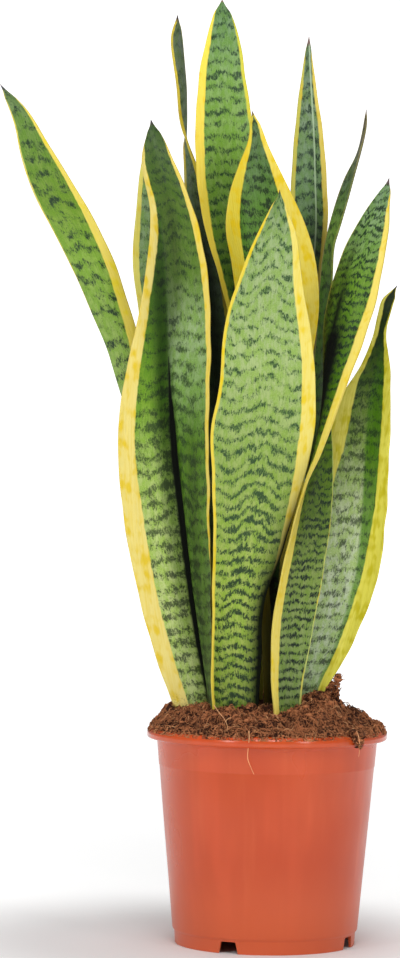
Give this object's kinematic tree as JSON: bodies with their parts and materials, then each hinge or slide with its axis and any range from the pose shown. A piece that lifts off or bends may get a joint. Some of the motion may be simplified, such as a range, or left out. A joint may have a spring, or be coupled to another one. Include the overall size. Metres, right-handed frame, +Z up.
{
  "type": "potted snake plant",
  "caption": "Variegated snake plant with upright sword leaves in a round terracotta-coloured plastic nursery pot filled with soil.",
  "frame": {"origin": "on the floor, in the middle of the box round the whole plant; the pot's own axis stands at x = 0.0535 m", "axes": "+Z up, -Y towards the front that the picture shows, +X to its right"},
  "size_m": [0.2843, 0.17, 0.671],
  "materials": {
    "pot_plastic": "satin",
    "peat_soil": "matte",
    "leaf": "satin"
  },
  "bodies": {
    "root": {"pot": "pot_plastic", "soil": "peat_soil", "leaf_far_left": "leaf", "leaf_front_left": "leaf", "leaf_small_left": "leaf", "leaf_back_left": "leaf", "leaf_tall_centre": "leaf", "leaf_yellow_centre": "leaf", "leaf_front_centre": "leaf", "leaf_back_right": "leaf", "leaf_narrow_right": "leaf", "leaf_twisted_right": "leaf", "leaf_far_right": "leaf"}
  },
  "joints": []
}
